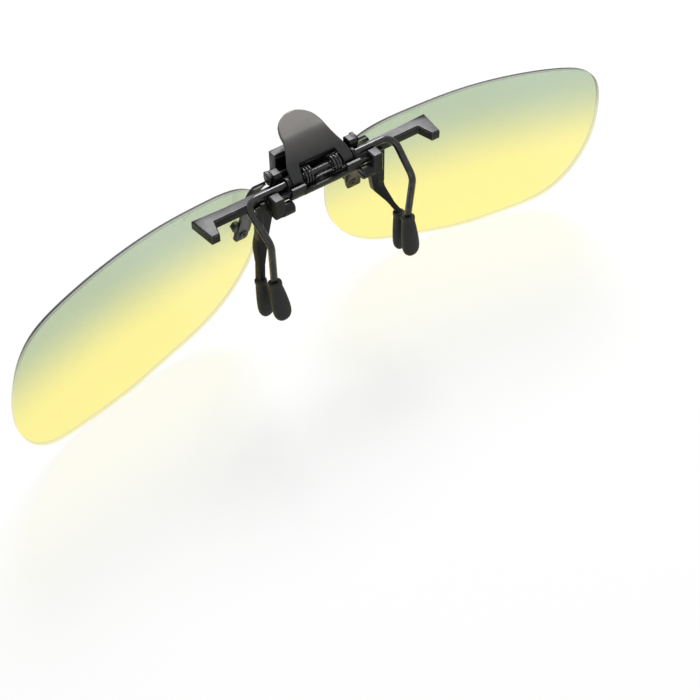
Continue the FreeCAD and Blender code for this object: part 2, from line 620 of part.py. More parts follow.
def lens_outline():
    """Closed outline of the left lens in the XZ plane, as a smooth curve through key points."""
    width = LENS_OUTER_X - LENS_INNER_X
    height = LENS_TOP_Z - LENS_BOTTOM_Z
    shares = [
        (0.00, 0.56), (0.074, 0.274), (0.213, 0.106), (0.37, 0.041), (0.545, 0.00), (0.73, 0.01),
        (0.90, 0.079), (0.995, 0.287), (1.00, 0.655), (0.915, 0.904), (0.793, 0.967),
        (0.637, 0.996), (0.444, 1.00), (0.255, 0.968), (0.114, 0.919), (0.024, 0.806)]
    points = [Vector(LENS_INNER_X + u * width, 0, LENS_BOTTOM_Z + v * height) for u, v in shares]
    curve = Part.BSplineCurve()
    curve.interpolate(points, PeriodicFlag=True)
    first = curve.FirstParameter
    span = curve.LastParameter - first
    stations = [curve.value(first + span * step / (2 * LENS_ARCS)) for step in range(2 * LENS_ARCS)]
    stations.append(stations[0])
    arcs = [Part.Arc(*stations[step:step + 3]).toShape() for step in range(0, 2 * LENS_ARCS, 2)]
    return Part.Wire(arcs)


def lens_normal():
    """Direction out of the rear surface at the lens screw, towards the wearer."""
    return (LENS_CENTRE - lens_screw_point()).normalize()


def lens_screw_point():
    return Vector(LENS_SCREW_X, LENS_SCREW_Y, LENS_SCREW_Z)


def lens_axes():
    """Directions outward and up along the lens's rear surface at the screw."""
    outward = lens_normal().cross(Vector(0, 0, 1)).normalize()
    return outward, outward.cross(lens_normal()).normalize()


def toe_point():
    """Centre of the tab's small lobe on the lens's rear surface."""
    x = LENS_SCREW_X + TAB_TOE_OFFSET[0]
    z = LENS_SCREW_Z + TAB_TOE_OFFSET[1]
    depth = math.sqrt(LENS_RADIUS ** 2 - (x - LENS_CENTRE_X) ** 2 - (z - LENS_CENTRE_Z) ** 2)
    return Vector(x, LENS_CENTRE_Y - depth, z)


def make_lens():
    """Shell between two spheres, cut to the outline, with a hole for the screw."""
    outer = Part.makeSphere(LENS_RADIUS + LENS_THICKNESS, LENS_CENTRE)
    inner = Part.makeSphere(LENS_RADIUS, LENS_CENTRE)
    column = Part.Face(lens_outline())
    column.translate(Vector(0, -60, 0))
    lens = column.extrude(Vector(0, 100, 0)).common(outer).cut(inner)
    through = lens_normal() * (LENS_THICKNESS * 2)
    hole = rod(lens_screw_point() - through, lens_screw_point() + through,
               LENS_SCREW_RADIUS + LENS_HOLE_GAP)
    return lens.cut(hole)


def arm_band():
    """Curved band in the XZ plane that widens from the fin down to the tab."""
    centres = [Vector(FIN_INNER_X + out, 0, z) for out, z in ARM_UPPER_PLACES]
    centres += [Vector(LENS_SCREW_X + out, 0, z) for out, z in ARM_LOWER_PLACES]
    centres.append(Vector(LENS_SCREW_X, 0, LENS_SCREW_Z))
    spine = Part.BSplineCurve()
    spine.interpolate(centres)
    first = spine.FirstParameter
    span = spine.LastParameter - first
    edges = []
    ends = []
    for sign in (1, -1):
        points = []
        for step in range(2 * ARM_ARCS + 1):
            share = step / (2 * ARM_ARCS)
            place = first + span * share
            heading = Vector(*spine.tangent(place)[0])
            half = (ARM_TOP_WIDTH + share * (ARM_FOOT_WIDTH - ARM_TOP_WIDTH)) / 2
            points.append(spine.value(place) + Vector(-heading.z, 0, heading.x) * (sign * half))
        ends.append((points[0], points[-1]))
        for step in range(0, 2 * ARM_ARCS, 2):
            edges.append(Part.Arc(*points[step:step + 3]).toShape())
    for first, second in zip(*ends):
        edges.append(Part.LineSegment(first, second).toShape())
    return Part.Face(Part.Wire(Part.__sortEdges__(edges)))


def make_lens_arm():
    """Fin on the flip pin, a curved strip out and down, and a square tab with a toe on the lens."""
    normal = lens_normal()
    centre = lens_screw_point()
    outward, up = lens_axes()
    fin = rod_x(FIN_INNER_X, FIN_OUTER_X, FLIP_Y, FLIP_Z, FIN_RADIUS)
    foot = centre + normal * (ARM_THICKNESS / 2)
    slope = Vector(0, foot.y - FLIP_Y, foot.z - FLIP_Z).normalize()
    top = Vector(0, FLIP_Y, FLIP_Z) - slope * (FIN_RADIUS * 0.7)
    strip = bent_strip([(top.y, top.z), (foot.y, foot.z)], [], ARM_THICKNESS,
                       FIN_INNER_X, LENS_OUTER_X)
    band = arm_band()
    band.translate(Vector(0, -BAR_HALF_SPAN, 0))
    strip = strip.common(band.extrude(Vector(0, BAR_HALF_SPAN * 2, 0)))
    toe = toe_point()
    sheet = normal * ARM_THICKNESS
    square = prism([centre + outward * x + up * z - sheet for x, z in TAB_CORNERS], sheet * 2)
    square = square.makeFillet(TAB_ROUND, edges_along(square, normal, lambda middle: True))
    lobes = [square, rod(toe - sheet, toe + sheet, TAB_TOE_RADIUS)]
    behind_lens = Part.makeSphere(LENS_RADIUS, LENS_CENTRE)
    plate = joined([fin, strip] + lobes).common(behind_lens)
    through = sheet * 4
    pin_hole = rod_x(0, BAR_HALF_SPAN, FLIP_Y, FLIP_Z, FLIP_PIN_RADIUS)
    pin_head_room = rod_x(FIN_OUTER_X, BAR_HALF_SPAN, FLIP_Y, FLIP_Z,
                          PIN_HEAD_DIAMETER / 2 + HEAD_ROOM)
    screw_hole = rod(centre - through, centre + through, LENS_SCREW_RADIUS)
    seat = centre + sheet
    spot_face = rod(seat, seat + through, LENS_SCREW_HEAD_RADIUS + HEAD_ROOM)
    return plate.cut([pin_hole, pin_head_room, spot_face, screw_hole])


def make_lens_hardware():
    """Screw with its head on the rear tab, and the washer and nut on the front of the lens."""
    normal = lens_normal()
    seat = lens_screw_point() + normal * ARM_THICKNESS
    front = lens_screw_point() - normal * (LENS_THICKNESS + 0.03)
    tail = front - normal * (WASHER_THICKNESS + NUT_HEIGHT + 0.3)
    crown = seat + normal * LENS_SCREW_HEAD_HEIGHT
    head = rod(seat, crown, LENS_SCREW_HEAD_RADIUS)
    socket = rod(crown - normal * LENS_SCREW_SOCKET, crown + normal, LENS_SCREW_SOCKET)
    screw = joined([rod(tail, seat, LENS_SCREW_RADIUS), head]).cut(socket)
    washer = rod(front - normal * WASHER_THICKNESS, front, WASHER_RADIUS)
    nut_face = front - normal * WASHER_THICKNESS
    corner = NUT_ACROSS_FLATS / math.sqrt(3)
    side, up = lens_axes()
    ring = []
    for index in range(6):
        angle = math.radians(60 * index)
        ring.append(nut_face + side * (corner * math.cos(angle)) + up * (corner * math.sin(angle)))
    nut = prism(ring, normal * -NUT_HEIGHT)
    hole = rod(tail - normal, seat, LENS_SCREW_RADIUS)
    return screw, washer.cut(hole), nut.cut(hole)


# --- assembly -------------------------------------------------------------------------------------
def pair(shape):
    """Two separate identical solids, one on each side."""
    return Part.makeCompound([shape, mirrored(shape)])


def build():
    leg = make_front_leg()
    wire = make_clamp_wire()
    spring = make_torsion_spring()
    screw, washer, nut = make_lens_hardware()
    handed = {
        "support_bar": make_support_bar(),
        "leg_block": make_leg_block(),
        "front_leg": leg,
        "front_tip": make_front_tip(leg),
        "flip_ear": make_flip_ear(),
        "rear_tip": make_rear_tip(wire),
        "lens_arm": make_lens_arm(),
        "lens": make_lens()}
    nodes = {
        "base_bracket": make_base_bracket(),
        "leg_screws": pair(make_leg_screw()),
        "detent_housing": make_detent_housing(),
        "detent_spring": make_detent_spring(),
        "clamp_wire": wire,
        "thumb_lever": make_thumb_lever(wire, spring),
        "torsion_spring": spring,
        "flip_pin": make_flip_pin(),
        "flip_cam": make_flip_cam(),
        "lens_screws": pair(screw),
        "lens_washers": pair(washer),
        "lens_nuts": pair(nut)}
    for name, shape in handed.items():
        nodes[name + "_left"] = shape
        nodes[name + "_right"] = mirrored(shape)
    return nodes


os.makedirs("parts", exist_ok=True)
for node_name, node_shape in build().items():
    node_shape.exportStep("parts/" + node_name + ".step")
    print(node_name, len(node_shape.Solids), round(node_shape.Volume, 3), node_shape.isValid())
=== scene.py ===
import json

import bmesh
import bpy
import numpy as np
from mathutils import Matrix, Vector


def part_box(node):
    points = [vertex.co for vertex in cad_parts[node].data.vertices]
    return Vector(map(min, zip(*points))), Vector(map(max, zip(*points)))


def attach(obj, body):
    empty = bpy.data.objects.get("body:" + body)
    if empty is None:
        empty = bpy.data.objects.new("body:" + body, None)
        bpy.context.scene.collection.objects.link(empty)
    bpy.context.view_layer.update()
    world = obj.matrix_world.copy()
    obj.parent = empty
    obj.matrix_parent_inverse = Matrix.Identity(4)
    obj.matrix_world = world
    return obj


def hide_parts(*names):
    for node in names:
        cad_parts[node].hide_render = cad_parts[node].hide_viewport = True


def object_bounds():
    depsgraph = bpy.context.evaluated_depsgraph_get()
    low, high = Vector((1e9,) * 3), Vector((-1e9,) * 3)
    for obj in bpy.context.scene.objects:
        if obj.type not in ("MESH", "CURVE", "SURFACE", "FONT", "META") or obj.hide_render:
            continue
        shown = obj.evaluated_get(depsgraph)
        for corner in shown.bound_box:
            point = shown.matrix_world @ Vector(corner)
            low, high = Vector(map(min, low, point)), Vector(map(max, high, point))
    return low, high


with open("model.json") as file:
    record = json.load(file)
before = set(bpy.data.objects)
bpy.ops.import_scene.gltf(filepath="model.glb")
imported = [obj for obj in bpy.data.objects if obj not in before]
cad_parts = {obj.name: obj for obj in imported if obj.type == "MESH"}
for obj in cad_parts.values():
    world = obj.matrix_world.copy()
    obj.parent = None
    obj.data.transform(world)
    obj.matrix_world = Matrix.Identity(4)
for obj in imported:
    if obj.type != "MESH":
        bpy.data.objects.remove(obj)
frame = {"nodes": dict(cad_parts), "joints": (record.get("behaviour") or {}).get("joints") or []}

cad_box = [list(corner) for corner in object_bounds()]

# Stamped bracket. One piece of 0.7 mm steel sheet is folded into a floor, a low rear lip, two ears
# for the axle and two wings that the bars are spot-welded under, then coated satin black.
class Signal:
    """A number that varies over a surface: arithmetic on it adds the Math nodes."""

    def __init__(self, tree, socket):
        self.tree = tree
        self.socket = socket

    def maths(self, operation, *values):
        node = self.tree.nodes.new("ShaderNodeMath")
        node.operation = operation
        for place, value in zip(node.inputs, values):
            if isinstance(value, Signal):
                self.tree.links.new(value.socket, place)
            else:
                place.default_value = value
        return Signal(self.tree, node.outputs[0])

    def __add__(self, other):
        return self.maths("ADD", self, other)

    def __radd__(self, other):
        return self.maths("ADD", other, self)

    def __sub__(self, other):
        return self.maths("SUBTRACT", self, other)

    def __rsub__(self, other):
        return self.maths("SUBTRACT", other, self)

    def __mul__(self, other):
        return self.maths("MULTIPLY", self, other)

    def __rmul__(self, other):
        return self.maths("MULTIPLY", other, self)

    def __truediv__(self, other):
        return self.maths("DIVIDE", self, other)

    def __rtruediv__(self, other):
        return self.maths("DIVIDE", other, self)

    def __pow__(self, other):
        return self.maths("POWER", self, other)

    def held(self, low, high):
        """The number kept between two limits."""
        return self.maths("MINIMUM", self.maths("MAXIMUM", self, low), high)

    def stepped(self, low, high):
        """0 below the first number and 1 above the second, in a straight rise between them."""
        return ((self - low) / (high - low)).held(0.0, 1.0)


class Finish:
    """A material with one principled surface, built up node by node."""

    def __init__(self, name, **constants):
        self.material = bpy.data.materials.new(name)
        self.material.use_nodes = True
        self.tree = self.material.node_tree
        self.surface = self.tree.nodes["Principled BSDF"]
        self.feed(self.surface, {key.replace("_", " "): value for key, value in constants.items()})

    def feed(self, node, sockets):
        """Sets each socket to its value, or links it to what a Signal carries."""
        for key, value in sockets.items():
            if isinstance(value, Signal):
                self.tree.links.new(value.socket, node.inputs[key])
            else:
                node.inputs[key].default_value = value

    def node(self, kind, settings, sockets, output=0):
        """Adds a node of a kind, with its settings first and then its sockets."""
        made = self.tree.nodes.new("ShaderNode" + kind)
        for key, value in settings.items():
            setattr(made, key, value)
        self.feed(made, sockets)
        return Signal(self.tree, made.outputs[output])

    def place(self):
        """The point on the piece, in its own coordinates."""
        return self.node("TexCoord", {}, {}, "Object")

    def noise(self, size_mm, detail=3.0, roughness=0.5, stretch=None):
        """Cloudy pattern from 0 to 1 with features of about the given size."""
        place = self.place()
        if stretch:
            place = self.node("Mapping", {}, {"Vector": place, "Scale": stretch})
        return self.node("TexNoise", {}, {"Vector": place, "Scale": 1000.0 / size_mm,
                                          "Detail": detail, "Roughness": roughness}, "Fac")

    def mix(self, share, first, second):
        """One colour where the share is 0 and the other where it is 1."""
        return self.node("Mix", {"data_type": "RGBA"}, {0: share, 6: first, 7: second}, 2)

    def bump(self, height, depth_mm, strength):
        """Relief of the given depth fed to the surface's normal."""
        relief = self.node("Bump", {}, {"Height": height, "Distance": depth_mm / 1000,
                                        "Strength": strength})
        self.feed(self.surface, {"Normal": relief})


def grey(level, warmth=0.0):
    """A neutral colour, slightly warm or cold."""
    return (level * (1 + warmth), level, level * (1 - warmth), 1.0)


def satin_black(name, level, roughness):
    """Satin black stoved coating: a fine orange-peel skin, cloudy sheen and a little dust."""
    finish = Finish(name, Specular_IOR_Level=0.2)
    clouds = finish.noise(2.4, detail=4.0)
    skin = finish.noise(0.16, detail=2.0)
    dust = finish.noise(0.07, detail=2.0).stepped(0.66, 0.8)
    tone = finish.mix(clouds.stepped(0.3, 0.75), grey(level * 0.82), grey(level * 1.25))
    tone = finish.mix(dust * 0.35, tone, grey(level * 3.2))
    finish.feed(finish.surface, {
        "Base Color": tone,
        "Roughness": roughness - 0.07 + 0.16 * clouds + 0.06 * skin})
    finish.bump(skin + clouds * 0.4, 0.012, strength=0.55)
    return finish.material


def highlit_rubbed_edge(name, level, roughness=0.3):
    """The same coating on a rounded edge, lighter than the faces as a painted edge highlight,
    and polished thin with bare steel showing in short runs.
    """
    finish = Finish(name, Specular_IOR_Level=0.42)
    runs = finish.noise(1.1).stepped(0.52, 0.68)
    grain = finish.noise(0.12, detail=2.0)
    finish.feed(finish.surface, {
        # Painted edge highlight: both edge shades are lighter than the coat on the faces; the
        # lighter runs are also the bare steel.
        "Base Color": finish.mix(runs, grey(level * 0.62), grey(level * 1.7)),
        "Metallic": runs * 0.6,
        "Roughness": roughness + 0.12 * grain})
    finish.bump(grain, 0.006, strength=0.4)
    return finish.material


def rounded_piece(name, mesh, coat, edge, bevel_mm, segments, angle):
    """An object whose edges sharper than an angle are rounded, the rounding in its own finish."""
    piece = bpy.data.objects.new(name, mesh)
    bpy.context.scene.collection.objects.link(piece)
    merge = piece.modifiers.new("merge", "WELD")
    merge.merge_threshold = 1e-6
    flatten = piece.modifiers.new("flatten", "DECIMATE")
    flatten.decimate_type = "DISSOLVE"
    flatten.angle_limit = np.radians(0.5)
    rounding = piece.modifiers.new("rounding", "BEVEL")
    rounding.width = bevel_mm / 1000
    rounding.segments = segments
    rounding.limit_method = "ANGLE"
    rounding.angle_limit = np.radians(angle)
    rounding.harden_normals = True
    rounding.material = 1
    mesh.materials.clear()
    mesh.materials.append(coat)
    mesh.materials.append(edge)
    mesh.polygons.foreach_set("material_index", np.zeros(len(mesh.polygons), np.int32))
    mesh.polygons.foreach_set("use_smooth", np.ones(len(mesh.polygons), bool))
    mesh.set_sharp_from_angle(angle=np.radians(angle))
    return piece


def dressed_copy(node, name, body, coat, edge, bevel_mm, segments=3, angle=30.0,
                 about=(0.0, 0.0, 0.0), stretch=(1.0, 1.0, 1.0)):
    """A merged and rounded copy of a node. Each point's distance from a centre, given for the +X
    side and mirrored for the other, is multiplied by the stretch along each axis."""
    mesh = frame["nodes"][node].data.copy()
    mesh.name = name
    points = np.empty(len(mesh.vertices) * 3)
    mesh.vertices.foreach_get("co", points)
    points = points.reshape(-1, 3)
    centres = np.tile(np.array(about) / 1000, (len(points), 1))
    centres[:, 0] *= np.sign(points[:, 0])
    mesh.vertices.foreach_set("co", (centres + (points - centres) * stretch).ravel())
    piece = rounded_piece(name, mesh, coat, edge, bevel_mm, segments, angle)
    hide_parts(node)
    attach(piece, body)


bracket_coat = satin_black("bracket satin black", level=0.008, roughness=0.3)
# The bracket's rounded edges are lighter than its coat: a painted edge highlight with rubbed wear.
bracket_highlit_edge = highlit_rubbed_edge("bracket rubbed edge", level=0.04)
dressed_copy("base_bracket", "stamped_bracket", "base", bracket_coat,
             bracket_highlit_edge, bevel_mm=0.11)


# Rear wall of the trough and flanges. The bracket's sheet goes on behind its lip and curls up
# round the lever's knuckles, lower between them, where the spring's bridge shows above its rim.
# Beyond the trough the rear edge of each wing is turned down into a flange.
def pressed_piece(name, outline, inner_x, outer_x, body, coat, edge, bevel_mm, angle=30.0):
    """A closed outline in the YZ plane carried straight along X, capped at both ends."""
    outline = np.array(outline, float)
    count = len(outline)
    following = np.roll(outline, -1, axis=0)
    turning = (outline[:, 0] * following[:, 1] - following[:, 0] * outline[:, 1]).sum()
    if turning * (outer_x - inner_x) < 0:
        outline = outline[::-1]
    points = np.concatenate([np.column_stack([np.full(count, x), outline])
                             for x in (inner_x, outer_x)])
    index = np.arange(count)
    after = np.roll(index, -1)
    sides = np.stack([index, after, after + count, index + count], axis=1)
    mesh = bpy.data.meshes.new(name)
    mesh.from_pydata((points / 1000).tolist(), [],
                     sides.tolist() + [index[::-1].tolist(), (index + count).tolist()])
    piece = rounded_piece(name, mesh, coat, edge, bevel_mm, segments=3, angle=angle)
    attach(piece, body)


wall_sheet = 0.52
wall_start_y, wall_start_z = 4.25, 0.05
wall_depth = 0.85
low_rim, high_rim = 1.75, 3.2
low_half_length = 5.0
lap = 0.05
trough_end = 8.15
flange_end = 10.9
flange = [(3.6, 0.8), (4.35, 0.8), (4.35, 1.75), (4.13, 1.97), (3.6, 1.97)]


def unit(vectors):
    """Vectors scaled to length 1 along the last axis."""
    return vectors / np.linalg.norm(vectors, axis=-1, keepdims=True)


def curled_wall(rim_z):
    """Section of the wall: a quarter ellipse that starts level and ends upright, and the same line
    moved in by the sheet's thickness."""
    turn = np.linspace(0.0, 0.5 * np.pi, 14)
    outside = np.stack([wall_start_y + wall_depth * np.sin(turn),
                        wall_start_z + (rim_z - wall_start_z) * (1 - np.cos(turn))], axis=1)
    heading = unit(np.gradient(outside, axis=0))
    inside = outside - wall_sheet * heading[:, ::-1] * [1, -1]
    return np.concatenate([outside, inside[::-1]])


pressed_piece("trough_wall_middle", curled_wall(low_rim), -low_half_length, low_half_length,
              "base", bracket_coat, bracket_highlit_edge, bevel_mm=0.08, angle=40.0)
for sign, side in ((1, "left"), (-1, "right")):
    pressed_piece("trough_wall_" + side, curled_wall(high_rim), sign * (low_half_length - lap),
                  sign * trough_end, "base", bracket_coat, bracket_highlit_edge,
                  bevel_mm=0.08, angle=40.0)
    pressed_piece("wing_flange_" + side, flange, sign * trough_end, sign * flange_end, "base",
                  bracket_coat, bracket_highlit_edge, bevel_mm=0.12)

# Detent housing. A folded cover of the same sheet stands on the front of the bracket and hides the
# leaf spring. It is tacked to the floor and coated with the bracket.
dressed_copy("detent_housing", "detent_cover", "base", bracket_coat,
             bracket_highlit_edge, bevel_mm=0.16)

# Flip ears. Two square lugs of the bracket's sheet, bevelled along the top, stand on the wings,
# and the flip pin turns in them.
for side in ("left", "right"):
    dressed_copy("flip_ear_" + side, "pin_lug_" + side, "base", bracket_coat,
                 bracket_highlit_edge, bevel_mm=0.14)

# Support bars. Two flat steel pressings, coated satin black, lie along the top of the spectacles.
# Each has bevelled upper edges, a tongue under its wing and a hook turned back at the outer end.
bar_coat = satin_black("bar satin black", level=0.0095, roughness=0.31)
# The bars' rounded edges are lighter than their coat: a painted edge highlight with rubbed wear.
bar_highlit_edge = highlit_rubbed_edge("bar rubbed edge", level=0.055)
for side in ("left", "right"):
    dressed_copy("support_bar_" + side, "rest_bar_" + side, "base", bar_coat,
                 bar_highlit_edge, bevel_mm=0.22)

# Leg blocks and their screws. A small steel block behind each wing clamps the top of a front leg,
# and a slotted cheese-head screw pulls it up from the inner side. Both are drawn out a little from
# the plain solids, the block in length and the screw mostly round its head.
block_middle = (11.8, 0.0, 0.0)
head_middle = (10.9, 4.9, -0.65)
for side in ("left", "right"):
    dressed_copy("leg_block_" + side, "clamp_block_" + side, "base",
                 bracket_coat, bracket_highlit_edge, bevel_mm=0.24, about=block_middle,
                 stretch=(1.32, 1.0, 1.0))
screw_coat = satin_black("screw black", level=0.016, roughness=0.28)
# The screws' rounded edges are lighter than their coat: a painted edge highlight with rubbed wear.
screw_highlit_edge = highlit_rubbed_edge("screw rubbed edge", level=0.08, roughness=0.24)
dressed_copy("leg_screws", "cheese_head_screws", "base", screw_coat, screw_highlit_edge,
             bevel_mm=0.1, about=head_middle, stretch=(1.06, 1.14, 1.14))

# Front legs. Flat steel bars, thinned where they pass behind the support bars, go down in front of
# each rim, step back under it and narrow to the ends that carry the front tips. A shoulder pressed
# from the same bar keeps the outer side upright as far as the knee.
leg_coat = satin_black("leg satin black", level=0.008, roughness=0.36)
shoulder = [(1.78, -7.4), (3.12, -7.4), (3.12, 0.9), (2.55, 0.9), (2.55, -2.15), (1.78, -2.15)]
shoulder_root, shoulder_edge = 14.0, 15.5
for sign, side in ((1, "left"), (-1, "right")):
    dressed_copy("front_leg_" + side, "strip_leg_" + side, "base", leg_coat,
                 bracket_highlit_edge, bevel_mm=0.13)
    pressed_piece("leg_shoulder_" + side, shoulder, sign * shoulder_root, sign * shoulder_edge,
                  "base", leg_coat, bracket_highlit_edge, bevel_mm=0.13)


# Leaf spring, cam and pin of the flip hinge. A blade of blued spring steel stands inside the
# housing and presses on the flats of the square cam that is staked on the middle of the pin.
def box_mm(node):
    """Lowest and highest corner of a node of the frame, in millimetres."""
    low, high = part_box(node)
    return np.array(low) * 1000, np.array(high) * 1000


blued = Finish("blued spring steel", Metallic=0.85, Specular_IOR_Level=0.5)
streaks = blued.noise(1.5, roughness=0.6, stretch=(0.15, 1.0, 1.0))
blued.feed(blued.surface, {
    "Base Color": blued.mix(streaks.stepped(0.3, 0.7), grey(0.06, warmth=-0.08),
                            grey(0.13, warmth=0.05)),
    "Roughness": 0.26 + 0.2 * streaks})
blued.bump(streaks, 0.006, strength=0.5)
dressed_copy("detent_spring", "leaf_spring", "base", blued.material,
             blued.material, bevel_mm=0.05, segments=2)
dressed_copy("flip_cam", "square_cam", "flip", screw_coat, screw_highlit_edge,
             bevel_mm=0.06, segments=2)
pin_end = box_mm("flip_pin")[1][0]
end_filed_off = 0.22
dressed_copy("flip_pin", "hinge_pin", "flip", screw_coat, screw_highlit_edge,
             bevel_mm=0.05, stretch=((pin_end - end_filed_off) / pin_end, 1.0, 1.0))


# Clamp wire. One 1.5 mm wire is bent into the axle across the middle and the two legs that come
# down behind the rims. It is coated semi-gloss black.
def bent_line(corners, radii, step_mm):
    """Straight runs joined by arcs. An arc starts where it is tangent to the first run, turns
    about a centre one radius inward from there, and ends tangent to the second run."""
    arc_points, no_turn = 16, 1e-4
    corners = np.array(corners, float)
    pieces = [corners[:1]]
    for before, corner, after, radius in zip(corners, corners[1:], corners[2:], radii):
        back, ahead = unit(before - corner), unit(after - corner)
        turn = np.pi - np.arccos(np.clip(back @ ahead, -1.0, 1.0))
        if turn < no_turn:
            continue
        start = corner + back * radius * np.tan(turn / 2)
        inward = unit(ahead - back * (back @ ahead))
        sweep = np.linspace(0.0, turn, arc_points)[:, None]
        pieces.append(start + radius * (inward * (1 - np.cos(sweep)) - back * np.sin(sweep)))
    line = np.concatenate(pieces + [corners[-1:]])
    along = np.concatenate([[0.0], np.cumsum(np.linalg.norm(np.diff(line, axis=0), axis=1))])
    even = np.linspace(0.0, along[-1], int(along[-1] / step_mm) + 1)
    return np.stack([np.interp(even, along, line[:, axis]) for axis in range(3)], axis=1)


def skinned(name, rings, finish):
    """A closed skin over rings of points: quads between neighbouring rings, a fan of triangles to
    the middle of the first and last ring, and the faces turned outwards."""
    rows, around = rings.shape[:2]
    points = rings.reshape(-1, 3)
    poles = np.stack([rings[0].mean(axis=0), rings[-1].mean(axis=0)])
    points = np.concatenate([points, poles])
    index = np.arange(rows * around).reshape(rows, around)
    following = np.roll(index, -1, axis=1)
    quads = np.stack([index[:-1], following[:-1], following[1:], index[1:]], axis=-1)
    first = np.stack([np.full(around, rows * around), following[0], index[0]], axis=-1)
    last = np.stack([np.full(around, rows * around + 1), index[-1], following[-1]], axis=-1)
    quads = quads.reshape(-1, 4)
    corners = points[np.concatenate([quads[:, [0, 1, 2]], quads[:, [0, 2, 3]], first, last])]
    middle = points.mean(axis=0)
    a, b, c = (corners[:, k] - middle for k in range(3))
    if (a * np.cross(b, c)).sum() < 0:
        quads, first, last = quads[:, ::-1], first[:, ::-1], last[:, ::-1]
    mesh = bpy.data.meshes.new(name)
    mesh.from_pydata((points / 1000).tolist(), [],
                     quads.tolist() + first.tolist() + last.tolist())
    mesh.polygons.foreach_set("use_smooth", np.ones(len(mesh.polygons), bool))
    mesh.materials.append(finish)
    piece = bpy.data.objects.new(name, mesh)
    bpy.context.scene.collection.objects.link(piece)
    return piece


def tube_rings(line, beside, radius, sides, end_round):
    """Circles square to a line. One axis of each circle is the line's heading crossed with a
    direction that is never along it; the last stretch of each end shrinks as a quarter circle."""
    heading = unit(np.gradient(line, axis=0))
    across = unit(np.cross(heading, beside))
    upright = np.cross(across, heading)
    turn = np.linspace(0.0, 2 * np.pi, sides, endpoint=False)
    circle = across[:, None] * np.cos(turn)[None, :, None] \
        + upright[:, None] * np.sin(turn)[None, :, None]
    rings = line[:, None] + circle * radius
    fall = np.linspace(0.0, 0.5 * np.pi, 6)[1:-1]
    start = [line[0] - heading[0] * end_round * (np.sin(a) - 1)
             + circle[0] * (radius - end_round * (1 - np.cos(a))) for a in fall]
    finish = [line[-1] + heading[-1] * end_round * (np.sin(a) - 1)
              + circle[-1] * (radius - end_round * (1 - np.cos(a))) for a in fall]
    rings[0] = rings[0] + heading[0] * end_round
    rings[-1] = rings[-1] - heading[-1] * end_round
    return np.concatenate([np.stack(start[::-1]), rings, np.stack(finish)])


hinges = {joint["name"]: np.array(joint["pos_m"]) * 1000 for joint in frame["joints"]}
clamp_axle = hinges["clamp_hinge"]
wire_radius = 0.75
corner_x = box_mm("clamp_wire")[1][0] - wire_radius
wire_leg = [(corner_x, clamp_axle[1], clamp_axle[2]), (17.05, 10.5, -2.3), (16.45, 9.9, -12.8),
            (16.1, 11.55, -19.25)]
wire_corners = [(-x, y, z) for x, y, z in wire_leg[::-1]] + wire_leg
wire_bends = (2.4, 2.4, 2.6, 2.6, 2.4, 2.4)
never_along = np.array([0.0, 0.894, 0.447])
wire_line = bent_line(wire_corners, wire_bends, step_mm=0.25)
semi_gloss = Finish("wire semi-gloss black", Specular_IOR_Level=0.42, Coat_Roughness=0.12)
flow = semi_gloss.noise(1.3)
fine = semi_gloss.noise(0.1, detail=2.0)
semi_gloss.feed(semi_gloss.surface, {
    "Base Color": semi_gloss.mix(flow.stepped(0.35, 0.7), grey(0.006), grey(0.014)),
    "Roughness": 0.16 + 0.14 * flow + 0.05 * fine,
    "Coat Weight": flow.stepped(0.4, 0.8) * 0.3})
semi_gloss.bump(flow + fine * 0.3, 0.01, strength=0.5)
wire_rings = tube_rings(wire_line, never_along, wire_radius, sides=28, end_round=0.2)
wire = skinned("bent_wire", wire_rings, semi_gloss.material)
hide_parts("clamp_wire")
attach(wire, "clamp")

# Torsion spring. Spring wire is wound in two open coils on the axle. A bridge behind the axle
# joins them over the low part of the wall, and the outer ends hook sideways into the lever.
spring_wire = 0.44
coil_radius = 1.65
coil_turns = 3.725
coil_inner_x, coil_outer_x = 2.1, 4.5
bridge_gap = 0.3
hook_length = 0.5
spring_bend = 0.3
phase = np.linspace(0.0, 1.0, 260)
angle = -2 * np.pi * coil_turns * phase
coil = np.stack([coil_inner_x + (coil_outer_x - coil_inner_x) * phase,
                 clamp_axle[1] + coil_radius * np.cos(angle),
                 clamp_axle[2] + coil_radius * np.sin(angle)], axis=1)
bridge = np.array([(0.0, coil[0, 1], coil[0, 2]),
                   (coil_inner_x - bridge_gap, coil[0, 1], coil[0, 2])])
half_spring = np.concatenate([bridge, coil, coil[-1:] + [[hook_length, 0.0, 0.0]]])
spring_corners = np.concatenate([half_spring[:0:-1] * [-1, 1, 1], half_spring])
spring_line = bent_line(spring_corners, [spring_bend] * (len(spring_corners) - 2), step_mm=0.1)
outward = (spring_line - clamp_axle) * [0, 1, 1]
spring_finish = Finish("blackened spring wire", Metallic=0.6, Specular_IOR_Level=0.6)
drawn = spring_finish.noise(0.5, detail=2.0)
spring_finish.feed(spring_finish.surface, {
    "Base Color": spring_finish.mix(drawn.stepped(0.4, 0.7), grey(0.025), grey(0.06)),
    "Roughness": 0.2 + 0.12 * drawn})
spring_finish.bump(drawn, 0.004, strength=0.5)
spring_rings = tube_rings(spring_line, outward, spring_wire / 2, sides=14, end_round=0.06)
spring = skinned("wound_spring", spring_rings, spring_finish.material)
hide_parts("torsion_spring")
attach(spring, "clamp")


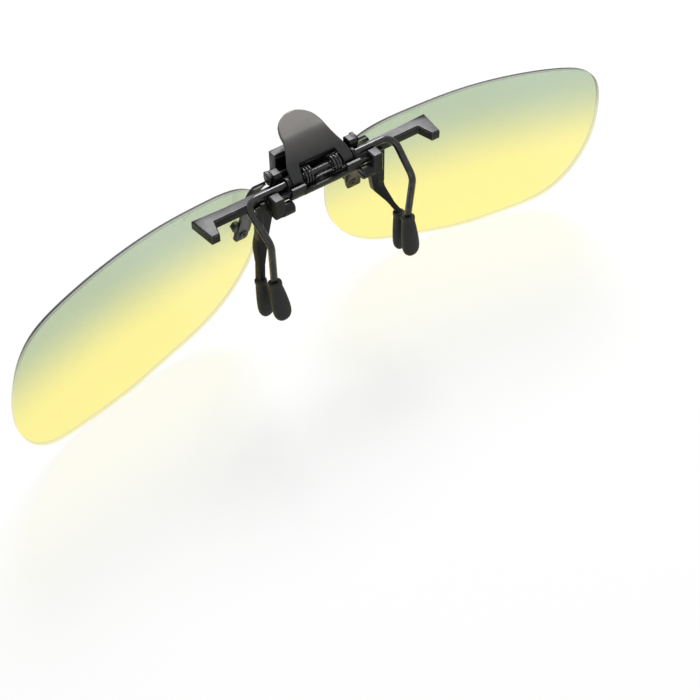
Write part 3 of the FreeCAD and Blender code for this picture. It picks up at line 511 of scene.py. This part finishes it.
# Thumb lever. A paddle of 0.8 mm sheet is rolled round the axle into a knuckle on each side of a
# notch for the spring, bent forward, and ends in a round pad. It is finished in satin graphite,
# with
# a painted highlight: lighter and warmer towards the pad at the top, darker and cooler below.
lever_run = np.array([-4.8, 5.3])
tip_run = np.array([-5.7, 2.05])
tip_bend = 6.0
lever_half_sheet = 0.4
lever_round = 0.36
rolled_length = 2.0
crown_height, pad_sink = 0.22, 0.2
crown_from, crown_over = 5.0, 4.0
lever_widths = [(0, 7.2), (1.8, 7.03), (3.4, 6.5), (4.7, 5.9), (6.1, 5.37), (7.4, 5.05),
                (8.8, 4.9), (10, 4.55), (11.05, 4.05), (12.05, 3.1), (12.8, 1.7), (13.2, 0)]
sheet_low = -1.5
notch_half, notch_height, notch_slope = 4.75, 2.45, 0.35


def lever_width(distance):
    """Half width of the lever at a distance from the axle: the listed widths squared, run through
    a sliding average, and the root taken, so that the tip closes round."""
    samples, window = 400, 31
    stations, widths = np.array(lever_widths, float).T
    fine_stations = np.linspace(stations[0], stations[-1], samples)
    squares = np.interp(fine_stations, stations, widths ** 2)
    kernel = np.hanning(window)
    padded = np.pad(squares, window // 2, mode="reflect", reflect_type="odd")
    squares = np.convolve(padded, kernel / kernel.sum(), mode="valid")
    return np.sqrt(np.maximum(np.interp(distance, fine_stations, squares), 0.0))


def clustered(count):
    """Numbers from 0 to 1 that crowd towards both ends, as half a turn of a cosine does."""
    return 0.5 - 0.5 * np.cos(np.pi * np.linspace(0.0, 1.0, count))


def eased(share):
    """A share from 0 to 1 that starts and ends level: three squares of it less two cubes."""
    return share * share * (3.0 - 2.0 * share)


def paddle_faces():
    """Upper and lower face of the paddle. A point's place across is its share of the half width,
    and its place along runs from the lower edge, which steps up over the notch, to the tip. The
    middle surface is rolled round the axle at 1 mm, leaves it on the tangent to the bend and turns
    to the tip. Both faces stand off it by half the sheet, less a quarter-round at the rim."""
    notch_share, rim_share = 0.60, 0.74
    half = np.concatenate([notch_share + (rim_share - notch_share) * clustered(21)[:-1],
                           rim_share + (1 - rim_share) * clustered(17)])
    even = np.linspace(-notch_share, notch_share, 30)
    across = np.concatenate([-half[::-1], even[1:-1], half])
    along = clustered(90)
    knuckle_half, length = lever_widths[0][1], lever_widths[-1][0]
    inside_notch = notch_half + notch_slope - np.abs(across) * knuckle_half
    step = eased(np.clip(inside_notch / (2 * notch_slope), 0.0, 1.0))
    low = sheet_low + (notch_height - sheet_low) * step
    distance = low[None, :] + along[:, None] * (length - low[None, :])
    width = lever_width(distance)
    x = across[None, :] * width
    rim = np.minimum(np.minimum((1 - np.abs(across))[None, :] * width,
                                distance - low[None, :]), length - distance)
    share = np.clip(rim / lever_round, 0.0, 1.0)
    stand = lever_half_sheet - lever_round + lever_round * np.sqrt(1 - (1 - share) ** 2)
    stand = np.where(rim <= 1e-9, 0.0, stand)
    towards = 1 / np.linalg.norm(lever_run)
    side = np.array([lever_run[1], -lever_run[0]]) * towards
    back = lever_run * towards ** 2 + side * np.sqrt(1 - towards ** 2)
    heading = np.array([-back[1], back[0]])
    curl = np.linspace(-rolled_length, 0.0, 41)[:, None]
    rolled = np.pad(back * np.cos(curl) + heading * np.sin(curl), ((0, 0), (1, 0)))
    bend, tip = lever_run, lever_run + tip_run
    straight = bent_line([rolled[-1], (0, *bend), (0, *tip)], [tip_bend], step_mm=0.05)
    route = np.concatenate([rolled[:-1], straight])
    strides = np.linalg.norm(np.diff(route, axis=0), axis=1)
    spans = np.concatenate([[0], np.cumsum(strides)]) - rolled_length
    spans = np.where(spans > 0, spans / spans[-1] * length, spans)
    y = np.interp(distance, spans, route[:, 1])
    z = np.interp(distance, spans, route[:, 2])
    slope_y = np.interp(distance, spans, np.gradient(route[:, 1], spans))
    slope_z = np.interp(distance, spans, np.gradient(route[:, 2], spans))
    on_pad = np.clip((distance - crown_from) / crown_over, 0.0, 1.0)
    rise = (crown_height * (1 - (x / knuckle_half) ** 2) - pad_sink) * on_pad
    faces = []
    for lift in (stand + rise, -stand + rise):
        faces.append(np.stack([x, clamp_axle[1] + y + lift * slope_z,
                               clamp_axle[2] + z - lift * slope_y], axis=-1))
    return faces


def pillow(name, top, bottom, finish):
    """Two grids that share their rim, sewn into one closed skin with its faces outwards."""
    rows, columns = top.shape[:2]
    count = rows * columns
    points = np.concatenate([top.reshape(-1, 3), bottom.reshape(-1, 3)])
    index = np.arange(count).reshape(rows, columns)
    upper = np.stack([index[:-1, :-1], index[:-1, 1:], index[1:, 1:], index[1:, :-1]], axis=-1)
    lower = upper[..., ::-1] + count
    faces = np.concatenate([upper.reshape(-1, 4), lower.reshape(-1, 4)])
    mesh = bpy.data.meshes.new(name)
    mesh.from_pydata((points / 1000).tolist(), [], faces.tolist())
    shell = bmesh.new()
    shell.from_mesh(mesh)
    bmesh.ops.remove_doubles(shell, verts=shell.verts, dist=2e-6)
    bmesh.ops.dissolve_degenerate(shell, edges=shell.edges, dist=1e-6)
    bmesh.ops.recalc_face_normals(shell, faces=shell.faces)
    shell.to_mesh(mesh)
    shell.free()
    mesh.polygons.foreach_set("use_smooth", np.ones(len(mesh.polygons), bool))
    mesh.materials.append(finish)
    piece = bpy.data.objects.new(name, mesh)
    bpy.context.scene.collection.objects.link(piece)
    return piece


graphite = Finish("lever satin graphite", Metallic=0.75, Specular_IOR_Level=0.5)
brushed = graphite.noise(0.6, roughness=0.6, stretch=(3.0, 0.35, 0.35))
haze = graphite.noise(3.5)
height = graphite.node("SeparateXYZ", {}, {"Vector": graphite.place()}, "Z") * 1000.0
# Painted highlight: the colour turns lighter and warmer with height towards the pad, darker and
# cooler lower down.
pad = (height + haze * 1.5).stepped(6.5, 10.5)
speck = graphite.noise(0.08, detail=2.0)
graphite.feed(graphite.surface, {
    "Base Color": graphite.mix(pad, grey(0.032, warmth=-0.02), grey(0.096, warmth=0.05)),
    "Roughness": 0.36 + 0.1 * haze + 0.05 * brushed})
graphite.bump(speck * 0.6 + brushed * 0.5, 0.006, strength=0.5)
lever = pillow("thumb_paddle", *paddle_faces(), graphite.material)
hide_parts("thumb_lever")
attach(lever, "clamp")


def turned_rings(profile, start, heading, sides):
    """Circles along a line, one for each (distance along, radius) pair of the profile."""
    aside = np.array([0.3, 0.2, 0.93])
    across = unit(np.cross(heading, aside))
    upright = np.cross(across, heading)
    turn = np.linspace(0.0, 2 * np.pi, sides, endpoint=False)
    circle = across * np.cos(turn)[:, None] + upright * np.sin(turn)[:, None]
    return start + profile[:, None, :1] * heading + profile[:, None, 1:] * circle


knuckle_profile = np.array([(0.0, 0.8), (0.0, 1.16), (0.05, 1.28), (0.2, 1.36), (2.15, 1.36),
                            (2.3, 1.28), (2.35, 1.16), (2.35, 0.8)])
knuckle_inner = 4.83
for sign, side in ((1, "left"), (-1, "right")):
    start = clamp_axle + [sign * knuckle_inner, 0, 0]
    rings = turned_rings(knuckle_profile, start, np.array([sign, 0.0, 0.0]), sides=48)
    knuckle = skinned("rolled_knuckle_" + side, rings, graphite.material)
    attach(knuckle, "clamp")


# Rubber tips. Soft black sleeves pushed over the ends of the legs: a collar with a lip, a neck and
# a flattened bulb that presses on the spectacles. The front pair is a little slimmer.
rubber = Finish("tip soft rubber", Specular_IOR_Level=0.35)
bloom = rubber.noise(2.0, detail=4.0)
pores = rubber.noise(0.09, detail=2.0)
rubber.feed(rubber.surface, {
    "Base Color": rubber.mix(bloom.stepped(0.35, 0.75), grey(0.008), grey(0.015)),
    "Roughness": 0.5 + 0.16 * bloom})
rubber.bump(pores + bloom * 0.3, 0.012, strength=0.5)
tip_profile = np.array([
    (0.00, 1.10, 1.08), (0.05, 1.28, 1.24), (0.18, 1.38, 1.33), (0.55, 1.41, 1.36),
    (0.90, 1.39, 1.34), (1.05, 1.31, 1.27), (1.15, 1.29, 1.25), (1.45, 1.35, 1.29),
    (2.20, 1.48, 1.31), (3.40, 1.66, 1.33), (4.80, 1.84, 1.33), (6.10, 1.95, 1.30),
    (7.10, 1.97, 1.25), (7.90, 1.87, 1.16), (8.55, 1.59, 1.01), (9.00, 1.18, 0.78),
    (9.26, 0.75, 0.51), (9.37, 0.38, 0.27), (9.40, 0.12, 0.09)])


def tip_rings(top, heading, scale):
    """Rounded-square loops, from a super-ellipse of power 2.4, set along the tip's own line; their
    half widths and depths come from the profile, read along a smoothed distance."""
    loops, sides, power = 70, 40, 2 / 2.4
    across = unit(np.cross(np.array([0.0, 1.0, 0.0]), heading))
    deep = np.cross(heading, across)
    stations = np.interp(np.linspace(0, 1, loops), np.linspace(0, 1, len(tip_profile)),
                         tip_profile[:, 0])
    widths = np.interp(stations, tip_profile[:, 0], tip_profile[:, 1]) * scale
    depths = np.interp(stations, tip_profile[:, 0], tip_profile[:, 2]) * scale
    turn = np.linspace(0.0, 2 * np.pi, sides, endpoint=False)
    cosine, sine = np.cos(turn), np.sin(turn)
    loop_x = np.sign(cosine) * np.abs(cosine) ** power
    loop_y = np.sign(sine) * np.abs(sine) ** power
    return (top + heading * stations[:, None])[:, None] \
        + widths[:, None, None] * loop_x[None, :, None] * across \
        + depths[:, None, None] * loop_y[None, :, None] * deep


collar_lift = 0.3
rear_heading = unit(np.array(wire_leg[3]) - wire_leg[2])
rear_top = np.array(wire_leg[2]) + [0.0, 0.0, collar_lift]
front_top = np.array([17.2, 5.9, -14.6])
front_heading = unit(np.array([17.0, 6.8, -20.5]) - front_top)
front_scale = 0.88
for sign, side in ((1, "left"), (-1, "right")):
    flip = np.array([sign, 1, 1])
    rear = skinned("rear_rubber_tip_" + side,
                   tip_rings(rear_top * flip, rear_heading * flip, 1.0), rubber.material)
    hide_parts("rear_tip_" + side)
    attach(rear, "clamp")
    front = skinned("front_rubber_tip_" + side,
                    tip_rings(front_top * flip, front_heading * flip, front_scale),
                    rubber.material)
    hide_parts("front_tip_" + side)
    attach(front, "base")

# Lens arms. Stamped steel: a square-topped fin on each end of the flip pin runs into a curved strip
# that widens down to a square tab with a rounded toe, on the back of the lens under its screw.
arm_coat = satin_black("arm satin black", level=0.013, roughness=0.33)
flip_axle = hinges["flip_hinge"]
fin_radius = 1.25
fin_inner, fin_outer = 9.9, 10.55
fin_turn = np.linspace(np.pi, 2 * np.pi, 13)
fin_outline = np.concatenate([fin_radius * np.stack([np.cos(fin_turn), np.sin(fin_turn)], axis=1),
                              [(fin_radius, 1.3), (1.0, 1.5), (-0.85, 1.5), (-fin_radius, 1.1)]])
for sign, side in ((1, "left"), (-1, "right")):
    dressed_copy("lens_arm_" + side, "curved_arm_" + side, "flip", arm_coat,
                 bracket_highlit_edge, bevel_mm=0.12)
    pressed_piece("arm_fin_" + side, fin_outline + flip_axle[1:], sign * fin_inner,
                  sign * fin_outer, "flip", arm_coat, bracket_highlit_edge,
                  bevel_mm=0.08, angle=40.0)

# Lenses. Two pressed sheets, 1.1 mm thick and curved to a sphere, tinted grey-green along the top
# and running into clear yellow below. Their sawn edges are pale, with a painted shade line at the
# front rim.
lens_sheet = 1.1
sphere_radius = 286.0
sphere_centre = np.array([-17.7, 272.435, -68.251])
lens_low, lens_high = box_mm("lens_left")
face_loops = 26
outline_size = [62.9, 46.0]
outline_shares = np.array([
    (0.00, 0.56), (0.074, 0.274), (0.213, 0.106), (0.37, 0.041), (0.545, 0.00), (0.73, 0.01),
    (0.90, 0.079), (0.995, 0.287), (1.00, 0.655), (0.915, 0.904), (0.793, 0.967),
    (0.637, 0.996), (0.444, 1.00), (0.255, 0.968), (0.114, 0.919), (0.024, 0.806)])


def closed_curve(points, count):
    """A closed cubic curve through the points: the slopes at the points solve the condition that
    the curve's second derivative is continuous, with the chord lengths as its steps."""
    steps = np.linalg.norm(np.roll(points, -1, axis=0) - points, axis=1)
    before = np.roll(steps, 1)
    size = len(points)
    system = np.diag(2 * (steps + before))
    rows = np.arange(size)
    system[rows, (rows - 1) % size] = steps
    system[rows, (rows + 1) % size] = before
    rise = (np.roll(points, -1, axis=0) - points) / steps[:, None]
    fall = np.roll(rise, 1, axis=0)
    slopes = np.linalg.solve(system, 3 * (steps[:, None] * fall + before[:, None] * rise))
    knots = np.concatenate([[0], np.cumsum(steps)])
    place = np.linspace(0, knots[-1], count, endpoint=False)
    which = np.searchsorted(knots, place, side="right") - 1
    share = ((place - knots[which]) / steps[which])[:, None]
    span = steps[which][:, None]
    after = (which + 1) % size
    return ((2 * share ** 3 - 3 * share ** 2 + 1) * points[which]
            + (share ** 3 - 2 * share ** 2 + share) * span * slopes[which]
            + (3 * share ** 2 - 2 * share ** 3) * points[after]
            + (share ** 3 - share ** 2) * span * slopes[after])


def lens_rings(outline):
    """Loops that grow from the middle to the outline over the rear sphere, cross the cut edge with
    a small bevel on each side, and shrink back to the middle over the front sphere."""
    bevel = 0.12
    middle = outline.mean(axis=0)
    radial = outline - middle
    reach = np.linalg.norm(radial, axis=1, keepdims=True)
    shares = np.sin(np.linspace(0.02, 0.5 * np.pi, face_loops))
    face = [(share, bevel * share, 0.0) for share in shares]
    rim = [(1.0, 0.04, 0.035), (1.0, 0.0, 0.12), (1.0, 0.0, 0.5), (1.0, 0.0, 0.88),
           (1.0, 0.04, 0.965)]
    rows = face + rim + [(share, inset, 1.0) for share, inset, _ in face[::-1]]
    share, inset, depth = (np.array(column)[:, None] for column in zip(*rows))
    flat = middle + radial[None] * (share[..., None] * (1 - inset[..., None] / reach[None]))
    gap = (flat - sphere_centre[[0, 2]]) ** 2
    rear = sphere_centre[1] - np.sqrt(sphere_radius ** 2 - gap.sum(axis=-1))
    fore = sphere_centre[1] - np.sqrt((sphere_radius + lens_sheet) ** 2 - gap.sum(axis=-1))
    return np.stack([flat[..., 0], rear + (fore - rear) * depth, flat[..., 1]], axis=-1)


def tinted_sheet():
    """Clear tinted sheet: two filters shared out by height, and a mirror share that grows towards
    grazing angles. Each of the sheet's two faces carries the square root of the whole tint."""
    clear_below, dark_above = -26.0, 1.5
    yellow, grey_green = (0.999, 0.95, 0.585, 1.0), (0.69, 0.758, 0.648, 1.0)
    finish = Finish("lens graduated tint", Base_Color=(0.9, 0.92, 0.85, 1.0), Metallic=1.0)
    tree = finish.tree
    height = finish.node("SeparateXYZ", {}, {"Vector": finish.place()}, "Z") * 1000.0
    drift = finish.noise(18.0, detail=2.0)
    fade = eased((height + drift * 1.5).stepped(clear_below, dark_above))
    tint = finish.node("MixShader", {}, {
        0: fade, 1: finish.node("BsdfTransparent", {}, {"Color": yellow}),
        2: finish.node("BsdfTransparent", {}, {"Color": grey_green})})
    smear = finish.noise(9.0)
    finish.feed(finish.surface, {"Roughness": 0.03 + 0.05 * smear})
    facing = finish.node("LayerWeight", {}, {"Blend": 0.5}, "Facing")
    mirror = 0.03 + 0.6 * facing ** 5.0
    whole = finish.node("MixShader", {}, {
        0: mirror, 1: tint, 2: Signal(tree, finish.surface.outputs[0])})
    tree.links.new(whole.socket, tree.nodes["Material Output"].inputs["Surface"])
    return finish.material


def edge_finish(name, low_colour, high_colour, low_cover, high_cover):
    """Matt sawn plastic that lets less light through towards the top, with its colour by height."""
    finish = Finish(name, Specular_IOR_Level=0.3)
    saw = finish.noise(0.4)
    level = finish.node("SeparateXYZ", {}, {"Vector": finish.place()}, "Z") * 1000.0
    upper = (level + saw * 2.0).stepped(-12.0, 2.0)
    finish.feed(finish.surface, {
        "Base Color": finish.mix(upper, low_colour, high_colour),
        "Roughness": 0.4 + 0.3 * saw,
        "Alpha": low_cover + (high_cover - low_cover) * upper})
    finish.bump(saw, 0.02, strength=0.5)
    return finish.material


tint_finish = tinted_sheet()
cut_edge = edge_finish("lens cut edge", (0.6, 0.64, 0.3, 1.0), (0.13, 0.12, 0.12, 1.0),
                       low_cover=0.25, high_cover=0.6)
# Front half of the sawn edge: painted near black and nearly opaque towards the top, a painted shade
# line darker than the edge's rear half.
rim_shade_line = edge_finish("lens front rim", (0.3, 0.32, 0.12, 1.0), (0.012, 0.012, 0.012, 1.0),
                        low_cover=0.3, high_cover=0.95)
left_outline = closed_curve(outline_shares * outline_size, count=220)
fitted = (left_outline - left_outline.min(axis=0)) / np.ptp(left_outline, axis=0)
left_outline = lens_low[[0, 2]] + fitted * (lens_high - lens_low)[[0, 2]]
left_rings = lens_rings(left_outline)
edge_start, rim_start, rim_end = (face_loops + np.array([0, 2, 4])) * len(left_outline)
for sign, side in ((1, "left"), (-1, "right")):
    lens = skinned("tinted_lens_" + side, left_rings * [sign, 1, 1], tint_finish)
    lens.data.materials.append(cut_edge)
    lens.data.materials.append(rim_shade_line)
    index = np.zeros(len(lens.data.polygons), np.int32)
    index[edge_start:rim_start] = 1
    # The front half of the edge wall takes the painted shade line.
    index[rim_start:rim_end] = 2
    lens.data.polygons.foreach_set("material_index", index)
    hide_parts("lens_" + side)
    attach(lens, "flip")

# Lens screws, washers and nuts. A small blackened screw goes through tab and lens from behind, and
# is held by a dark nylon washer and a hexagon nut on the front.
dressed_copy("lens_screws", "lens_screw_pair", "flip", screw_coat, screw_highlit_edge,
             bevel_mm=0.08)
dressed_copy("lens_nuts", "hexagon_nut_pair", "flip", screw_coat, screw_highlit_edge,
             bevel_mm=0.07)
nylon = Finish("dark nylon", Specular_IOR_Level=0.45)
milk = nylon.noise(0.6)
nylon.feed(nylon.surface, {"Base Color": nylon.mix(milk, grey(0.03), grey(0.06)),
                           "Roughness": 0.42 + 0.15 * milk})
nylon.bump(milk, 0.01, strength=0.4)
dressed_copy("lens_washers", "nylon_washer_pair", "flip", nylon.material,
             nylon.material, bevel_mm=0.05, segments=2)

# Studio. A sheet of pale paper just under the lenses, an even white surround and two soft lamps.
# The camera stands behind the clip and above it, to the wearer's left.
floor_gap, floor_half, floor_glow = 0.0002, 3.0, 0.76
floor_z = cad_box[0][2] - floor_gap
floor_mesh = bpy.data.meshes.new("pale_floor")
floor_mesh.from_pydata([(x * floor_half, y * floor_half, floor_z)
                        for x, y in ((-1, -1), (1, -1), (1, 1), (-1, 1))], [], [(0, 1, 2, 3)])
floor = bpy.data.objects.new("pale_floor", floor_mesh)
bpy.context.scene.collection.objects.link(floor)
paper = Finish("pale paper", Specular_IOR_Level=0.0, Roughness=1.0)
fibres = paper.noise(1.2)
paper.feed(paper.surface, {"Base Color": paper.mix(fibres, grey(0.81), grey(0.85))})
lit = paper.node("Emission", {}, {"Color": grey(1.0), "Strength": 1.0})
seen = paper.node("LightPath", {}, {}, "Is Camera Ray") * floor_glow
shown = paper.node("MixShader", {}, {0: seen, 1: Signal(paper.tree, paper.surface.outputs[0]),
                                     2: lit})
paper.tree.links.new(shown.socket, paper.tree.nodes["Material Output"].inputs["Surface"])
floor_mesh.materials.append(paper.material)

surround_level = 0.35
surround = bpy.data.worlds.new("white surround")
surround.use_nodes = True
sky = surround.node_tree.nodes["Background"]
rays = surround.node_tree.nodes.new("ShaderNodeLightPath")
direct, glossy, passed = (Signal(surround.node_tree, rays.outputs["Is " + kind + " Ray"])
                          for kind in ("Camera", "Glossy", "Transmission"))
strength = surround_level + (1 - surround_level) * (direct + glossy + passed).held(0.0, 1.0)
surround.node_tree.links.new(strength.socket, sky.inputs["Strength"])
sky.inputs["Color"].default_value = (1, 1, 1, 1)
bpy.context.scene.world = surround


def soft_lamp(name, place, size, power):
    """A square area lamp that faces the middle of the object."""
    data = bpy.data.lights.new(name, "AREA")
    data.shape = "SQUARE"
    data.size = size
    data.energy = power
    lamp = bpy.data.objects.new(name, data)
    back = unit(np.array(place, float))
    across = unit(np.cross(np.array([0.0, 0.0, 1.0]), back))
    upright = np.cross(back, across)
    turned = np.eye(4)
    turned[:3, :3] = np.stack([across, upright, back], axis=1)
    turned[:3, 3] = place
    lamp.matrix_world = Matrix(turned.tolist())
    bpy.context.scene.collection.objects.link(lamp)


soft_lamp("overhead softbox", (-0.36, -0.48, 0.66), size=0.36, power=10.5)
soft_lamp("side softbox", (0.7, 0.5, 0.45), size=0.5, power=1.0)

camera_right = (-0.811934, 0.583719, -0.005935)
camera_up = (-0.428259, -0.588723, 0.685565)
camera_back = (0.396683, 0.559175, 0.727987)
camera_place = np.array([132.453, 198.949, 202.536]) / 1000
camera_data = bpy.data.cameras.new("view")
camera_data.sensor_width = 36.0
camera_data.lens = 80.592
camera_data.clip_start = 0.01
camera_data.clip_end = 20.0
camera = bpy.data.objects.new("view", camera_data)
stand = np.eye(4)
stand[:3] = np.stack([camera_right, camera_up, camera_back, camera_place], axis=1)
camera.matrix_world = Matrix(stand.tolist())
bpy.context.scene.collection.objects.link(camera)
bpy.context.scene.camera = camera
bpy.context.scene.view_settings.view_transform = "Standard"
